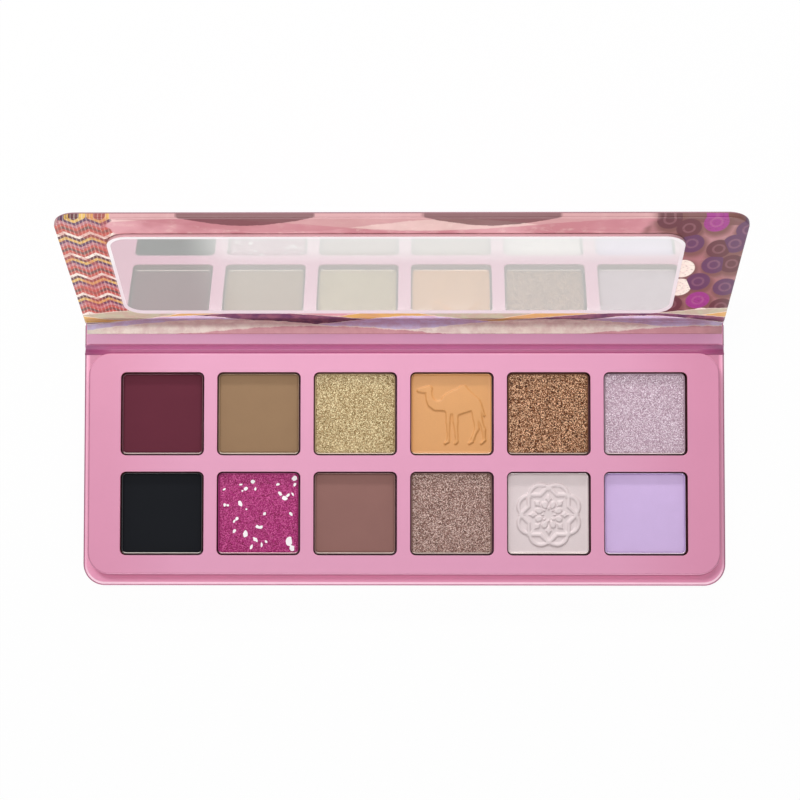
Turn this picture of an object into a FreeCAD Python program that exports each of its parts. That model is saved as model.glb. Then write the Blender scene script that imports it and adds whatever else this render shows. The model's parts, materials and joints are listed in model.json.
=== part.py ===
import FreeCAD, Part
import math
import os

# Eyeshadow palette in a paper-covered book case: a base board with a deck of twelve pans,
# a flat spine and a lid with a mirror, joined by two paper creases.
# Millimetres. Origin at the centre of the underside, +X to the right, -Y to the front, +Z up.
# The case stands open: the spine lies flat and the lid leans back.

# Case boards and papers
GREYBOARD = 1.3
PAPER = 0.15
PAPER_LIP = 0.5
CASE_CORNER = 5.4
EDGE_ROUND = 0.45

# Deck with its windows
COLUMNS = 6
ROW_NAMES = ("front", "rear")
COLUMN_BAR = 3.3
ROW_BAR = 4.05
DECK_SIDE_BORDER = 8.05
DECK_END_BORDER = 4.72
DECK_SHEET = 0.5
DECK_SKIRT = 0.5
DECK_CORNER = 5.5
DECK_ROUND = 0.4
WINDOW_CORNER = 1.4
WINDOW_ROUND = 0.15

# Base board left showing round the deck
RIM_SIDE = 1.6
RIM_FRONT = 2.8
RIM_REAR = 0.5

# Pans and their powders
PAN_SIZE = 20.1
PAN_HEIGHT = 2.4
PAN_WALL = 0.2
PAN_FLOOR = 0.3
PAN_CLEARANCE = 0.3
PAN_SHIFT = 0.1
PAN_RECESS = 1.5
GLUE_PAD = 14.0
GLUE_THICKNESS = 0.1
POWDER_DROP = 0.15
POWDER_EDGE = 0.2

# Magnets that hold the case shut
MAGNET_LENGTH = 10.0
MAGNET_WIDTH = 2.4
MAGNET_THICKNESS = 0.9
MAGNET_SPACING = 96.0
MAGNET_CLEARANCE = 0.05

# Mirror and its tape
MIRROR_WIDTH = 134.8
MIRROR_HEIGHT = 42.3
MIRROR_CORNER = 5.0
MIRROR_THICKNESS = 0.8
MIRROR_BEVEL = 0.9
MIRROR_BEVEL_DEPTH = 0.12
MIRROR_FROM_CREASE = 8.6
MIRROR_SHIFT = -1.4
TAPE_INSET = 3.0
TAPE_THICKNESS = 0.1

# Creases and the pose of the lid
GUTTER_CLEARANCE = 0.1
CLOSED_GAP = 0.35
LID_OPEN_ANGLE = 70.65

# Tolerance for finding edges by their place
SAME = 1e-6

# Sizes that follow
window = PAN_SIZE + 2 * PAN_CLEARANCE
column_pitch = window + COLUMN_BAR
row_pitch = window + ROW_BAR
rows = len(ROW_NAMES)
deck_width = COLUMNS * window + (COLUMNS - 1) * COLUMN_BAR + 2 * DECK_SIDE_BORDER
deck_depth = rows * window + (rows - 1) * ROW_BAR + 2 * DECK_END_BORDER
case_width = deck_width + 2 * RIM_SIDE
case_depth = deck_depth + RIM_FRONT + RIM_REAR
stack = GREYBOARD + 2 * PAPER
deck_height = GLUE_THICKNESS + PAN_HEIGHT + PAN_RECESS

# Places that follow
base_front = -case_depth / 2
base_rear = case_depth / 2
deck_front = base_front + RIM_FRONT
deck_rear = deck_front + deck_depth
deck_top = stack + deck_height
core_top = deck_top - DECK_SHEET
pan_bottom = stack + GLUE_THICKNESS
pan_top = pan_bottom + PAN_HEIGHT
crease_height = stack / 2
half_gutter = (stack + GUTTER_CLEARANCE) / 2
crease_reach = stack + deck_height + CLOSED_GAP + MIRROR_THICKNESS + TAPE_THICKNESS
base_crease = base_rear + half_gutter
lid_crease = base_crease + crease_reach
spine_front = base_crease + half_gutter
spine_rear = lid_crease - half_gutter
lid_reach = base_crease - base_front
magnet_y = (deck_front + DECK_SKIRT + deck_front + DECK_END_BORDER) / 2


def outline(x0, x1, y0, y1, front_radius, rear_radius):
    """Closed wire round a rectangle whose front and rear corners have their own radii."""
    corners = (
        (x0, y0, 1, 1, front_radius),
        (x1, y0, -1, 1, front_radius),
        (x1, y1, -1, -1, rear_radius),
        (x0, y1, 1, -1, rear_radius),
    )
    bend = 1 - math.sqrt(0.5)
    entries = []
    for number, (x, y, inward_x, inward_y, radius) in enumerate(corners):
        along_x = FreeCAD.Vector(x + inward_x * radius, y, 0)
        along_y = FreeCAD.Vector(x, y + inward_y * radius, 0)
        middle = FreeCAD.Vector(x + inward_x * radius * bend, y + inward_y * radius * bend, 0)
        first, last = (along_y, along_x) if number % 2 == 0 else (along_x, along_y)
        entries.append((first, middle, last, radius))
    edges = []
    for number, (first, middle, last, radius) in enumerate(entries):
        if radius > 0:
            edges.append(Part.Arc(first, middle, last).toShape())
        next_first = entries[(number + 1) % len(entries)][0]
        edges.append(Part.LineSegment(last, next_first).toShape())
    return Part.Wire(edges)


def plate(x0, x1, y0, y1, z0, z1, front_radius=0.0, rear_radius=0.0):
    """Flat plate with rounded corners between two heights."""
    face = Part.Face(outline(x0, x1, y0, y1, front_radius, rear_radius))
    solid = face.extrude(FreeCAD.Vector(0, 0, z1 - z0))
    solid.translate(FreeCAD.Vector(0, 0, z0))
    return solid


def square(centre_x, centre_y, size, z0, z1, radius):
    """Square plate about a centre."""
    half = size / 2
    sides = (centre_x - half, centre_x + half, centre_y - half, centre_y + half)
    return plate(*sides, z0, z1, radius, radius)


def edges_at(solid, height):
    """Edges of a solid that lie at one height."""
    level = []
    for edge in solid.Edges:
        box = edge.BoundBox
        if abs(box.ZMin - height) < SAME and abs(box.ZMax - height) < SAME:
            level.append(edge)
    return level


def within(edge, x0, x1, y0, y1):
    """Whether an edge lies inside a rectangle, its border left out."""
    box = edge.BoundBox
    return box.XMin > x0 + SAME and box.XMax < x1 - SAME and box.YMin > y0 + SAME and box.YMax < y1 - SAME


def border_edges(solid, height, x0, x1, y0, y1):
    """Edges at one height that run along the border of a solid's own rectangle."""
    return [edge for edge in edges_at(solid, height) if not within(edge, x0, x1, y0, y1)]


def covered_board(y0, y1, front_radius, rear_radius):
    """Greyboard with its wrap outside and its lining on the upper face, lying flat."""
    half = case_width / 2

    def inset(margin, z0, z1):
        front = max(front_radius - margin, 0)
        rear = max(rear_radius - margin, 0)
        return plate(-half + margin, half - margin, y0 + margin, y1 - margin, z0, z1, front, rear)

    board = inset(PAPER, PAPER, stack - PAPER)
    lining = inset(PAPER_LIP, stack - PAPER, stack)
    body = inset(0, 0, stack)
    paper_corner = PAPER * math.sqrt(2) / (math.sqrt(2) - 1)
    radius = min(EDGE_ROUND, 0.9 * paper_corner, 0.9 * PAPER_LIP)
    edges = border_edges(body, 0, -half, half, y0, y1) + border_edges(body, stack, -half, half, y0, y1)
    wrap = body.makeFillet(radius, edges).cut(board).cut(lining)
    return wrap, board, lining


def window_centres():
    """Name and centre of each window, row by row from the left."""
    centres = []
    first_x = -(COLUMNS - 1) * column_pitch / 2
    first_y = deck_front + DECK_END_BORDER + window / 2
    for row, row_name in enumerate(ROW_NAMES):
        for column in range(COLUMNS):
            name = "{}_{}".format(row_name, column + 1)
            centres.append((name, first_x + column * column_pitch, first_y + row * row_pitch))
    return centres


def magnet_pair(centre_y, z0, margin):
    """Two flat magnets, or their pockets where a margin is given."""
    bars = []
    for side in (-1, 1):
        x = side * MAGNET_SPACING / 2
        half_length = MAGNET_LENGTH / 2 + margin
        half_width = MAGNET_WIDTH / 2 + margin
        sides = (x - half_length, x + half_length, centre_y - half_width, centre_y + half_width)
        bars.append(plate(*sides, z0, z0 + MAGNET_THICKNESS))
    return Part.makeCompound(bars)


def deck_pieces(centres):
    """Core block and cover of the deck, both pierced by the windows."""
    half = deck_width / 2
    cap = plate(-half, half, deck_front, deck_rear, stack, deck_top, DECK_CORNER, DECK_CORNER)
    radius = min(DECK_ROUND, 0.9 * DECK_SHEET, 0.9 * DECK_SKIRT)
    cap = cap.makeFillet(radius, border_edges(cap, deck_top, -half, half, deck_front, deck_rear))
    inner = half - DECK_SKIRT
    corner = max(DECK_CORNER - DECK_SKIRT, 0)
    sides = (-inner, inner, deck_front + DECK_SKIRT, deck_rear - DECK_SKIRT)
    core = plate(*sides, stack, core_top, corner, corner)
    holes = [square(x, y, window, stack, deck_top, WINDOW_CORNER) for _, x, y in centres]
    cover = cap.cut(core).cut(holes)
    border = (-half + DECK_SKIRT, half - DECK_SKIRT, deck_front + DECK_SKIRT, deck_rear - DECK_SKIRT)
    mouths = [edge for edge in edges_at(cover, deck_top) if within(edge, *border)]
    cover = cover.makeFillet(min(WINDOW_ROUND, 0.9 * DECK_SHEET), mouths)
    pockets = magnet_pair(magnet_y, core_top - MAGNET_THICKNESS, MAGNET_CLEARANCE)
    core = core.cut(holes).cut(pockets)
    return core, cover


def pan(x, y):
    """Pressed metal pan with an open top."""
    outer_corner = max(WINDOW_CORNER - PAN_CLEARANCE, 0)
    inner_corner = max(outer_corner - PAN_WALL, 0)
    shell = square(x, y, PAN_SIZE, pan_bottom, pan_top, outer_corner)
    hollow = square(x, y, PAN_SIZE - 2 * PAN_WALL, pan_bottom + PAN_FLOOR, pan_top, inner_corner)
    return shell.cut(hollow)


def powder(x, y):
    """Pressed cake that fills a pan, with its upper edge broken."""
    size = PAN_SIZE - 2 * PAN_WALL
    corner = max(WINDOW_CORNER - PAN_CLEARANCE - PAN_WALL, 0)
    top = pan_top - POWDER_DROP
    cake = square(x, y, size, pan_bottom + PAN_FLOOR, top, corner)
    half = size / 2
    return cake.makeChamfer(POWDER_EDGE, border_edges(cake, top, x - half, x + half, y - half, y + half))


def glue_pads(centres):
    """One flat pad of glue under each pan."""
    pads = [square(x, y, GLUE_PAD, stack, pan_bottom, 0) for _, x, y in centres]
    return Part.makeCompound(pads)


def mirror_pieces():
    """Bevelled mirror and its tape on the lid's lining, with the lid lying flat."""
    middle = MIRROR_SHIFT
    y0 = lid_crease + MIRROR_FROM_CREASE
    y1 = y0 + MIRROR_HEIGHT
    half = MIRROR_WIDTH / 2
    bottom = stack + TAPE_THICKNESS
    shoulder = bottom + MIRROR_THICKNESS - MIRROR_BEVEL_DEPTH
    top = bottom + MIRROR_THICKNESS
    sides = (middle - half, middle + half, y0, y1)
    body = plate(*sides, bottom, shoulder, MIRROR_CORNER, MIRROR_CORNER)
    lower = outline(*sides, MIRROR_CORNER, MIRROR_CORNER)
    lower.translate(FreeCAD.Vector(0, 0, shoulder))
    reach = half - MIRROR_BEVEL
    corner = max(MIRROR_CORNER - MIRROR_BEVEL, 0.2 * MIRROR_CORNER)
    inner = (middle - reach, middle + reach, y0 + MIRROR_BEVEL, y1 - MIRROR_BEVEL)
    upper = outline(*inner, corner, corner)
    upper.translate(FreeCAD.Vector(0, 0, top))
    glass = body.fuse(Part.makeLoft([lower, upper], True, True))
    reach = half - TAPE_INSET
    corner = max(MIRROR_CORNER - TAPE_INSET, 0)
    strip = (middle - reach, middle + reach, y0 + TAPE_INSET, y1 - TAPE_INSET)
    tape = plate(*strip, stack, bottom, corner, corner)
    return glass.removeSplitter(), tape


def bent_strip():
    """Paper strip that turns from the spine's plane up into the lid's plane."""
    bend = math.radians(LID_OPEN_ANGLE)
    radius = half_gutter / math.tan(bend / 2)
    centre_z = crease_height + radius

    def on_arc(distance, angle):
        y = spine_rear + distance * math.sin(angle)
        return FreeCAD.Vector(-case_width / 2, y, centre_z - distance * math.cos(angle))

    inner = radius - PAPER
    outer = radius + PAPER
    edges = [
        Part.Arc(on_arc(outer, 0), on_arc(outer, bend / 2), on_arc(outer, bend)).toShape(),
        Part.LineSegment(on_arc(outer, bend), on_arc(inner, bend)).toShape(),
        Part.Arc(on_arc(inner, bend), on_arc(inner, bend / 2), on_arc(inner, 0)).toShape(),
        Part.LineSegment(on_arc(inner, 0), on_arc(outer, 0)).toShape(),
    ]
    return Part.Face(Part.Wire(edges)).extrude(FreeCAD.Vector(case_width, 0, 0))


def flat_strip():
    """Paper strip between the base and the spine, at mid height of the boards."""
    half = case_width / 2
    return plate(-half, half, base_rear, spine_front, crease_height - PAPER, crease_height + PAPER)


def raise_lid(shape):
    """Turn a piece of the flat lid about its crease to the open pose."""
    turned = shape.copy()
    centre = FreeCAD.Vector(0, lid_crease, crease_height)
    turned.rotate(centre, FreeCAD.Vector(1, 0, 0), LID_OPEN_ANGLE)
    return turned


def build():
    """All pieces by node name."""
    centres = window_centres()
    pieces = {}
    base = covered_board(base_front, base_rear, CASE_CORNER, 0)
    pieces["base_wrap"], pieces["base_board"], pieces["base_lining"] = base
    pieces["deck_core"], pieces["deck_cover"] = deck_pieces(centres)
    pieces["pan_glue"] = glue_pads(centres)
    for name, x, y in centres:
        seat = (x - PAN_SHIFT, y + PAN_SHIFT)
        pieces["pan_" + name] = pan(*seat)
        pieces["powder_" + name] = powder(*seat)
    pieces["base_magnets"] = magnet_pair(magnet_y, core_top - MAGNET_THICKNESS, 0)
    pieces["base_hinge_strip"] = flat_strip()

    spine = covered_board(spine_front, spine_rear, 0, 0)
    pieces["spine_wrap"], pieces["spine_board"], pieces["spine_lining"] = spine
    pieces["lid_hinge_strip"] = bent_strip()

    wrap, board, lining = covered_board(lid_crease + half_gutter, lid_crease + lid_reach, 0, CASE_CORNER)
    lid_magnet_y = lid_crease + base_crease - magnet_y
    lid_magnet_z = stack - PAPER - MAGNET_THICKNESS
    board = board.cut(magnet_pair(lid_magnet_y, lid_magnet_z, MAGNET_CLEARANCE))
    glass, tape = mirror_pieces()
    pieces["lid_wrap"] = raise_lid(wrap)
    pieces["lid_board"] = raise_lid(board)
    pieces["lid_lining"] = raise_lid(lining)
    pieces["lid_magnets"] = raise_lid(magnet_pair(lid_magnet_y, lid_magnet_z, 0))
    pieces["mirror"] = raise_lid(glass)
    pieces["mirror_tape"] = raise_lid(tape)
    return pieces


os.makedirs("parts", exist_ok=True)
for node, shape in build().items():
    shape.exportStep("parts/{}.step".format(node))
    print(node, len(shape.Solids), round(shape.Volume, 3), shape.isValid())
print("case", round(case_width, 3), round(case_depth, 3))
print("creases", round(base_crease, 3), round(lid_crease, 3))
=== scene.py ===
"""An open eyeshadow palette: paper-covered case, pink deck, twelve pressed powders and a bevelled mirror.

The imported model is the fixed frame. Each operator dresses one group of its pieces or builds the pieces
that stand for them, and the panel in the sidebar lists the operators.
"""

import json
import math
import random

import bmesh
import bpy
from bpy.props import FloatProperty, FloatVectorProperty, IntProperty, PointerProperty
from mathutils import Matrix, Vector, noise

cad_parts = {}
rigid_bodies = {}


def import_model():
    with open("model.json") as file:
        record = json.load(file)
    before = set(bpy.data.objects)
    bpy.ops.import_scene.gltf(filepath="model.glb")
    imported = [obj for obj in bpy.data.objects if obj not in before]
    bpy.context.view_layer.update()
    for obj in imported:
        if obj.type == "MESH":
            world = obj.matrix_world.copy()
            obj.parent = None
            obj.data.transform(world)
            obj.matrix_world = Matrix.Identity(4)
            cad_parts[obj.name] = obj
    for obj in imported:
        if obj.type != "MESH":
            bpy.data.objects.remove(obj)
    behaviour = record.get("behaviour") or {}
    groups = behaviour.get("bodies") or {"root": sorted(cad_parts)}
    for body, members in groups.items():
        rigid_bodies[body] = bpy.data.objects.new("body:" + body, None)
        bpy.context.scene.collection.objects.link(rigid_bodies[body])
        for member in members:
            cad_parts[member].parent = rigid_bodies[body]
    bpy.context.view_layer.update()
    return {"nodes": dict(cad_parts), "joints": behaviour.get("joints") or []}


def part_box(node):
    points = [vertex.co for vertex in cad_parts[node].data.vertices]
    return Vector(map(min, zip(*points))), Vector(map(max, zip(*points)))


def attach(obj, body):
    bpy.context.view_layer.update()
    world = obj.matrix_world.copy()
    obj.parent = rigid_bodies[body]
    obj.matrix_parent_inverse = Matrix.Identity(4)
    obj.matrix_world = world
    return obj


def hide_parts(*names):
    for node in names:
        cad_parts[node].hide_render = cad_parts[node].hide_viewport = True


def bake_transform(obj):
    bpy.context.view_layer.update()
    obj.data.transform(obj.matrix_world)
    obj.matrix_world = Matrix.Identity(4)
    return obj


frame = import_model()

bl_info = {
    "name": "Eyeshadow palette",
    "version": (1, 0, 0),
    "blender": (4, 5, 0),
    "location": "3D View > Sidebar > Palette",
    "description": "Dresses a book-style eyeshadow palette, piece by piece",
    "category": "Object",
}

MM = 0.001
JOINTS = {joint["name"]: joint for joint in frame["joints"]}
BASE_CREASE = Vector(JOINTS["spine_hinge"]["pos_m"])
LID_CREASE = Vector(JOINTS["lid_hinge"]["pos_m"])
LID_ANGLE = math.radians(-JOINTS["lid_hinge"]["range_deg"][0])
LID_PLACE = Matrix.Translation(LID_CREASE) @ Matrix.Rotation(LID_ANGLE, 4, "X")
ROWS = {
    "rear": ("burgundy", "olive_tan", "gold", "ochre", "copper", "lilac_silver"),
    "front": ("black", "magenta", "mauve_brown", "taupe", "ivory", "lavender"),
}
SHADES = {
    f"powder_{row}_{place}": shade for row, shades in ROWS.items() for place, shade in enumerate(shades, 1)
}
PANS = [node.replace("powder_", "pan_") for node in SHADES]


# Colours and sizes a user would change


def srgb(code):
    """The three parts of a colour written as six hex digits, 0 to 1."""
    return tuple(int(code[place:place + 2], 16) / 255 for place in (0, 2, 4))


def linear(colour):
    """A written colour as a shader takes it, with full alpha."""
    parts = [c / 12.92 if c <= 0.04045 else ((c + 0.055) / 1.055) ** 2.4 for c in colour]
    return (*parts, 1.0)


def colour_setting(label, words, code):
    return FloatVectorProperty(
        name=label, description=words, default=srgb(code), subtype="COLOR_GAMMA", size=3, min=0, max=1
    )


def length_setting(label, words, millimetres):
    size = millimetres * MM
    return FloatProperty(
        name=label, description=words, default=size, subtype="DISTANCE", unit="LENGTH", precision=5
    )


def angle_setting(label, words, degrees):
    return FloatProperty(name=label, description=words, default=math.radians(degrees), subtype="ANGLE")


def power_setting(label, words, watts):
    return FloatProperty(name=label, description=words, default=watts, unit="POWER")


def share_setting(label, words, share):
    return FloatProperty(name=label, description=words, default=share, subtype="FACTOR", min=0, max=1)


class PaperSettings(bpy.types.PropertyGroup):
    """Papers of the case and the deck, some with painted highlight or painted shade."""

    wrap: colour_setting("Wrap", "Paper round the outside of the case", "D98BB0")
    # Painted light: the lining is paler than the wrap, to lift the rim in the deck's shadow
    lining: colour_setting("Lining", "Paper on the inside of the base, paler than the wrap as painted light on the rim", "EA9FBE")
    spine: colour_setting("Spine lining", "Paper on the inside of the spine", "CC90B2")
    # Painted shade on the gutter paper beside the base
    crease: colour_setting("Crease", "Painted shade on the gutter paper beside the base", "9C4974")
    crease_rise: colour_setting("Rising crease", "Gutter paper where it rises to the spine", "D085B1")
    deck: colour_setting("Deck", "Paper over the raised deck", "D692B1")
    # Painted shade: the deck paper is darker towards its two ends
    deck_end_shade: colour_setting("Deck end shade", "Painted shade on the deck paper towards its two ends", "D187A6")
    # Painted shade: the board inside the windows is coloured dark
    deck_core: colour_setting("Deck core", "Board inside the windows, painted dark as the shade in the gaps", "551E1C")
    # Painted shade on the deck paper at the window walls
    cut: colour_setting("Window wall shade", "Painted shade on the deck paper at the walls of the windows", "5E1A18")
    deck_border: length_setting("Deck border", "Edge of the deck that holds no window", 3.0)
    # Painted highlight along the rim of the base
    rim_highlight: colour_setting("Rim highlight", "Painted highlight along the rim of the base", "FFDCEA")
    # Painted shade at the turned edge of the base and at the deck's foot and brink
    shade: colour_setting("Shaded edge", "Painted shade at the turned edge of the base and at the deck's foot and brink", "9A5672")
    case_corner: length_setting("Case corner", "Corner radius of the base", 5.4)
    deck_corner: length_setting("Deck corner", "Corner radius of the deck", 5.5)
    greyboard: colour_setting("Greyboard", "Board inside the papers", "8C8880")
    gloss: share_setting("Gloss", "Clear lacquer on the papers", 0.12)
    sheet: length_setting("Sheet", "Thickness of the loose paper over a crease", 0.05)


class PowderSettings(bpy.types.PropertyGroup):
    """Shades of the twelve powders, from the left, and how they are pressed."""

    burgundy: colour_setting("Burgundy", "Rear powder 1, matte", "632A39")
    olive_tan: colour_setting("Olive tan", "Rear powder 2, matte", "97795C")
    gold: colour_setting("Gold", "Rear powder 3, glitter", "AE9267")
    ochre: colour_setting("Ochre", "Rear powder 4, matte with a camel", "D4975A")
    copper: colour_setting("Copper", "Rear powder 5, glitter", "723D18")
    lilac_silver: colour_setting("Lilac silver", "Rear powder 6, shimmer", "BD9FB0")
    black: colour_setting("Black", "Front powder 1, matte", "111318")
    magenta: colour_setting("Magenta", "Front powder 2, shimmer with flakes", "A01E6A")
    mauve_brown: colour_setting("Mauve brown", "Front powder 3, matte", "906862")
    taupe: colour_setting("Taupe", "Front powder 4, shimmer", "886359")
    ivory: colour_setting("Ivory", "Front powder 5, matte with a rosette", "DCCDCE")
    lavender: colour_setting("Lavender", "Front powder 6, matte", "D3B8E5")
    tin: colour_setting("Tin", "Metal of the pans", "B9B4B6")
    # Painted shade on the rims by the wider gaps, right and rear
    gap: colour_setting("Gap", "Painted shade on the rims beside the wider gaps, right and rear", "48140C")
    # Painted highlight along the front of the rims
    front_highlight: colour_setting("Front highlight", "Bare metal along the front of the rims", "FFF2E8")
    front_highlight_share: share_setting("Wear", "How strong the painted highlight along the front of the rims is", 0.4)
    pan_corner: length_setting("Pan corner", "Corner radius of the pans", 1.1)
    rim: length_setting("Rim", "Width of the pans' rolled rims", 0.28)
    flake: colour_setting("Flake", "Flakes pressed into the magenta powder", "FBF6F8")
    corner: length_setting("Corner", "Corner radius of a cake", 0.9)
    roll: length_setting("Edge roll", "Width over which a cake's edge rounds down", 0.45)
    drop: length_setting("Edge drop", "How far a cake's edge rounds down", 0.18)
    camel: length_setting("Camel relief", "Height of the pressed camel", 0.3)
    relief: length_setting("Rosette relief", "Height of the pressed rosette", 0.34)
    glitter: length_setting("Glitter depth", "Unevenness of the glitter powders", 0.014)
    seed: IntProperty(name="Seed", description="Starts the scatter of glitter and flakes", default=12)


class PrintSettings(bpy.types.PropertyGroup):
    """Colours of the printed sheet inside the lid, and of the painted shade along the lid's outer edge."""

    wash: colour_setting("Wash", "Dusty pink ground", "D2979E")
    wash_deep: colour_setting("Deep wash", "Darker parts of the ground", "B9757D")
    cream: colour_setting("Cream", "Lightest ink", "F0E2D6")
    ochre: colour_setting("Ochre", "Yellow ink", "D9AE55")
    terracotta: colour_setting("Terracotta", "Red ink", "BC4B3C")
    maroon: colour_setting("Maroon", "Dark red ink", "541A22")
    plum: colour_setting("Plum", "Dark purple ink", "52204C")
    magenta: colour_setting("Magenta", "Bright purple ink", "93217C")
    lilac: colour_setting("Lilac", "Pale purple ink", "D2C2E2")
    brown: colour_setting("Brown", "Warm shade round the pebbles", "6A3B32")
    sage: colour_setting("Sage", "Grey green ink", "B9B79A")
    # Painted shade along the lid's outer edge
    edge: colour_setting("Edge", "Painted shade along the outer edge of the lid", "8A5A64")
    tail: length_setting("Tail", "How far the sheet laps onto the spine", 2.2)


class MirrorSettings(bpy.types.PropertyGroup):
    """The mirror plate."""

    tint: colour_setting("Tint", "Colour of the silvered face", "E8EAE7")
    bevel_tint: colour_setting("Bevel tint", "Colour of the bevelled glass", "E4E0E1")
    # Painted in place of the print seen through the glass edge
    edge: colour_setting("Edge", "Edge of the glass painted with the print that shows through it", "CBA0A6")
    silver: share_setting("Silvering", "How much of the face reflects where it is clear", 0.58)
    # Painted sheen: where the silver reflects less, its pale tint shows
    sheen: share_setting("Sheen", "How much less it reflects away from its left end", 0.14)
    top_sheen: share_setting("Top sheen", "How much less it reflects along its top", 0.4)
    lean: angle_setting("Lean", "How far the silver leans back behind its face", 2.1)
    bow: angle_setting("Bow", "How much more the silver leans back at its foot", 13.5)
    bevel: length_setting("Bevel", "Width of the bevel", 0.9)
    bevel_depth: length_setting("Bevel depth", "How far the bevel falls", 0.12)
    foot: length_setting("Foot", "How much wider the clear border is at the lower edge", 1.2)
    corner: length_setting("Corner", "Corner radius of the plate", 5.0)


class StageSettings(bpy.types.PropertyGroup):
    """Camera and lights."""

    aim: FloatVectorProperty(
        name="Aim", description="Point the camera looks at", default=(-0.00097, 0.017167, 0.0016),
        subtype="TRANSLATION", unit="LENGTH", size=3
    )
    tilt: angle_setting("Tilt", "Camera's lean to the front from straight above", 3.326)
    yaw: angle_setting("Yaw", "Camera's lean to the right", 0.841)
    distance: length_setting("Distance", "Camera to aim point", 596.774)
    lens: FloatProperty(
        name="Lens", description="Focal length on a 36 mm sensor", default=107.387, unit="CAMERA"
    )
    ambient: share_setting("Ambient", "Light from all round", 0.36)
    key: power_setting("Key", "Light from high at the rear", 1.0)
    rear: power_setting("Rear light", "Light over the edge of the lid", 1.1)
    low: power_setting("Low light", "Raking light on the pressed figures", 1.5)
    strip: power_setting("Strip", "Low strip of light in front", 7.2)


SETTINGS = {
    "palette_papers": PaperSettings,
    "palette_powders": PowderSettings,
    "palette_print": PrintSettings,
    "palette_mirror": MirrorSettings,
    "palette_stage": StageSettings,
}


# Shader wiring


class Wiring:
    """Adds nodes to one tree; inputs are numbers, colours or other nodes' sockets."""

    def __init__(self, tree):
        self.tree = tree

    def feed(self, socket, value):
        if isinstance(value, bpy.types.NodeSocket):
            self.tree.links.new(value, socket)
        else:
            socket.default_value = value

    def node(self, kind, inputs=None, **choices):
        made = self.tree.nodes.new(kind)
        for name, choice in choices.items():
            setattr(made, name, choice)
        for key, value in (inputs or {}).items():
            self.feed(made.inputs[key], value)
        return made

    def math(self, operation, *values):
        return self.node("ShaderNodeMath", dict(enumerate(values)), operation=operation).outputs[0]

    def plus(self, first, second):
        return self.math("ADD", first, second)

    def minus(self, first, second):
        return self.math("SUBTRACT", first, second)

    def times(self, first, second):
        return self.math("MULTIPLY", first, second)

    def vector(self, operation, *values):
        return self.node("ShaderNodeVectorMath", dict(enumerate(values)), operation=operation).outputs[0]

    def mix(self, share, first, second, blend="MIX"):
        inputs = {0: share, 6: first, 7: second}
        return self.node("ShaderNodeMix", inputs, data_type="RGBA", blend_type=blend).outputs[2]

    def step(self, value, start, end, low=0.0, high=1.0):
        """Rises smoothly from low to high as value goes from start to end."""
        inputs = {"Value": value, "From Min": start, "From Max": end, "To Min": low, "To Max": high}
        return self.node("ShaderNodeMapRange", inputs, interpolation_type="SMOOTHSTEP").outputs[0]

    def band(self, value, rise, fall):
        """One between a rise and a fall, each given as where it starts and where it ends."""
        return self.times(self.step(value, *rise), self.step(value, *fall))

    def object_place(self):
        return self.node("ShaderNodeTexCoord").outputs["Object"]

    def strip_place(self):
        """How far along its section a point of a paper strip lies, 0 to 1."""
        return self.node("ShaderNodeAttribute", attribute_name="along").outputs["Fac"]

    def face_normal(self):
        return self.node("ShaderNodeTexCoord").outputs["Normal"]

    def parts(self, vector):
        return self.node("ShaderNodeSeparateXYZ", {0: vector}).outputs

    def from_middle(self, node):
        """The parts of the way to a point from the middle of a CAD node."""
        low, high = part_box(node)
        return self.parts(self.vector("SUBTRACT", self.object_place(), (low + high) / 2))

    def noise(self, place, size, detail=2.0, rough=0.5):
        """Cloud noise whose blotches are about size across, in the unit of the place."""
        inputs = {"Vector": place, "Scale": 1 / size, "Detail": detail, "Roughness": rough}
        return self.node("ShaderNodeTexNoise", inputs).outputs[0]

    def cells(self, place, scale, flat=False, jitter=1.0):
        """Cellular noise: distance to the cell's point, and the cell's random colour."""
        choices = {"voronoi_dimensions": "2D"} if flat else {}
        inputs = {"Vector": place, "Scale": scale, "Randomness": jitter}
        made = self.node("ShaderNodeTexVoronoi", inputs, **choices)
        return made.outputs["Distance"], made.outputs["Color"]

    def red(self, colour):
        return self.node("ShaderNodeSeparateColor", {0: colour}).outputs[0]

    def round_inside(self, aside, ahead, corner):
        """How far a point lies inside a rounded outline, from its way past the corner's middle."""
        past = {0: self.math("MAXIMUM", aside, 0.0), 1: self.math("MAXIMUM", ahead, 0.0)}
        bend = self.node("ShaderNodeCombineXYZ", past).outputs[0]
        reach = self.node("ShaderNodeVectorMath", {0: bend}, operation="LENGTH").outputs["Value"]
        straight = self.math("MINIMUM", self.math("MAXIMUM", aside, ahead), 0.0)
        return self.minus(corner, self.plus(reach, straight))

    def chart(self, value, colours):
        """Even bands of flat colour over 0 to 1."""
        made = self.node("ShaderNodeValToRGB", {0: value})
        made.color_ramp.interpolation = "CONSTANT"
        stops = made.color_ramp.elements
        while len(stops) < len(colours):
            stops.new(0.5)
        for place, colour in enumerate(colours):
            stops[place].position = place / len(colours)
            stops[place].color = colour
        return made.outputs[0]


def effect(name, inputs, outputs):
    """Turns a function that wires a group's inputs to its outputs into one that gives the node group."""

    def make(wiring):
        def group():
            tree = bpy.data.node_groups.get(name)
            if tree is None:
                tree = bpy.data.node_groups.new(name, "ShaderNodeTree")
                for way, sockets in (("INPUT", inputs), ("OUTPUT", outputs)):
                    for label, kind in sockets.items():
                        tree.interface.new_socket(label, in_out=way, socket_type=kind)
                wires = Wiring(tree)
                wiring(wires, wires.node("NodeGroupInput").outputs, wires.node("NodeGroupOutput").inputs)
            return tree

        return group

    return make


COLOUR = "NodeSocketColor"
VALUE = "NodeSocketFloat"
SURFACE = {"Colour": COLOUR, "Roughness": VALUE, "Height": VALUE}


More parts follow.
